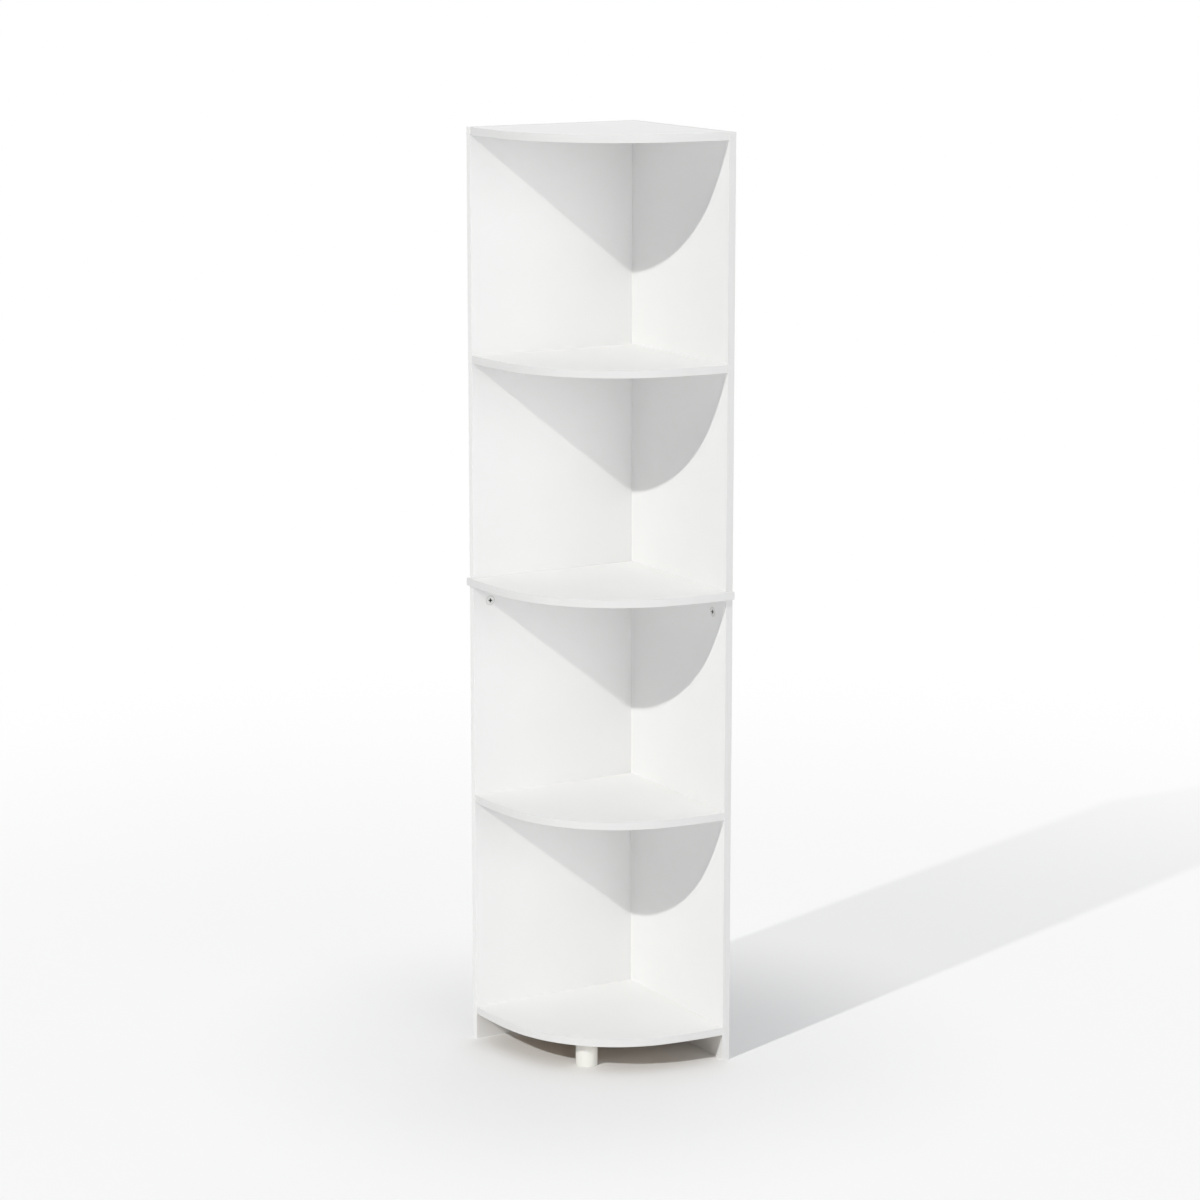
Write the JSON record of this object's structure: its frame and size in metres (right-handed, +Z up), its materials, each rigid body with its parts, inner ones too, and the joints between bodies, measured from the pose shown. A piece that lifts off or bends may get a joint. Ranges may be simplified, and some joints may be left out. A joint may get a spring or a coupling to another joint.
{
  "type": "corner shelf unit",
  "caption": "Tall corner shelf unit: quarter-round open shelves between two upright panels that meet at the corner of a room, with a round front foot.",
  "frame": {"origin": "on the floor, under the centre of the whole unit", "axes": "+Z up; the back panel's outer face looks along +Y and the side panel's along +X, so the open front looks along -X and -Y"},
  "size_m": [0.3404, 0.3404, 1.63],
  "materials": {
    "melamine_board": "white melamine foil on chipboard, satin",
    "edge_band": "white plastic edge strip, satin",
    "foot_plastic": "moulded off-white plastic, satin",
    "nickel_cam": "nickel-plated casting, semi-gloss",
    "zinc_steel": "zinc-plated steel, semi-gloss",
    "beech_dowel": "raw beech, matt"
  },
  "bodies": {
    "shelf_unit": {"back_cam_bolt": "zinc_steel", "back_dowel_1": "beech_dowel", "back_dowel_2": "beech_dowel", "bottom_shelf": "melamine_board", "bottom_shelf_back_screw_1": "zinc_steel", "bottom_shelf_back_screw_2": "zinc_steel", "bottom_shelf_band": "edge_band", "bottom_shelf_side_screw_1": "zinc_steel", "bottom_shelf_side_screw_2": "zinc_steel", "foot": "foot_plastic", "foot_screw": "zinc_steel", "lower_back_panel": "melamine_board", "lower_back_panel_front_band": "edge_band", "lower_corner_screw_1": "zinc_steel", "lower_corner_screw_2": "zinc_steel", "lower_corner_screw_3": "zinc_steel", "lower_shelf": "melamine_board", "lower_shelf_back_screw_1": "zinc_steel", "lower_shelf_back_screw_2": "zinc_steel", "lower_shelf_band": "edge_band", "lower_shelf_side_screw_1": "zinc_steel", "lower_shelf_side_screw_2": "zinc_steel", "lower_side_panel": "melamine_board", "lower_side_panel_front_band": "edge_band", "middle_shelf": "melamine_board", "middle_shelf_band": "edge_band", "side_cam_bolt": "zinc_steel", "side_dowel_1": "beech_dowel", "side_dowel_2": "beech_dowel", "top_shelf": "melamine_board", "top_shelf_back_screw_1": "zinc_steel", "top_shelf_back_screw_2": "zinc_steel", "top_shelf_band": "edge_band", "top_shelf_side_screw_1": "zinc_steel", "top_shelf_side_screw_2": "zinc_steel", "upper_back_panel": "melamine_board", "upper_back_panel_front_band": "edge_band", "upper_back_panel_screw_1": "zinc_steel", "upper_back_panel_screw_2": "zinc_steel", "upper_back_panel_top_band": "edge_band", "upper_corner_screw_1": "zinc_steel", "upper_corner_screw_2": "zinc_steel", "upper_corner_screw_3": "zinc_steel", "upper_shelf": "melamine_board", "upper_shelf_back_screw_1": "zinc_steel", "upper_shelf_back_screw_2": "zinc_steel", "upper_shelf_band": "edge_band", "upper_shelf_side_screw_1": "zinc_steel", "upper_shelf_side_screw_2": "zinc_steel", "upper_side_panel": "melamine_board", "upper_side_panel_front_band": "edge_band", "upper_side_panel_screw_1": "zinc_steel", "upper_side_panel_screw_2": "zinc_steel", "upper_side_panel_top_band": "edge_band"},
    "back_cam": {"back_cam_lock": "nickel_cam"},
    "side_cam": {"side_cam_lock": "nickel_cam"}
  },
  "joints": [
    {"name": "back_cam_turn", "type": "hinge", "parent": "shelf_unit", "child": "back_cam", "pos_m": [-0.13095, 0.15675, 0.8025], "axis": [0, -1, 0], "range_deg": [0, 190]},
    {"name": "side_cam_turn", "type": "hinge", "parent": "shelf_unit", "child": "side_cam", "pos_m": [0.15675, -0.12085, 0.8025], "axis": [-1, 0, 0], "range_deg": [0, 190]}
  ]
}
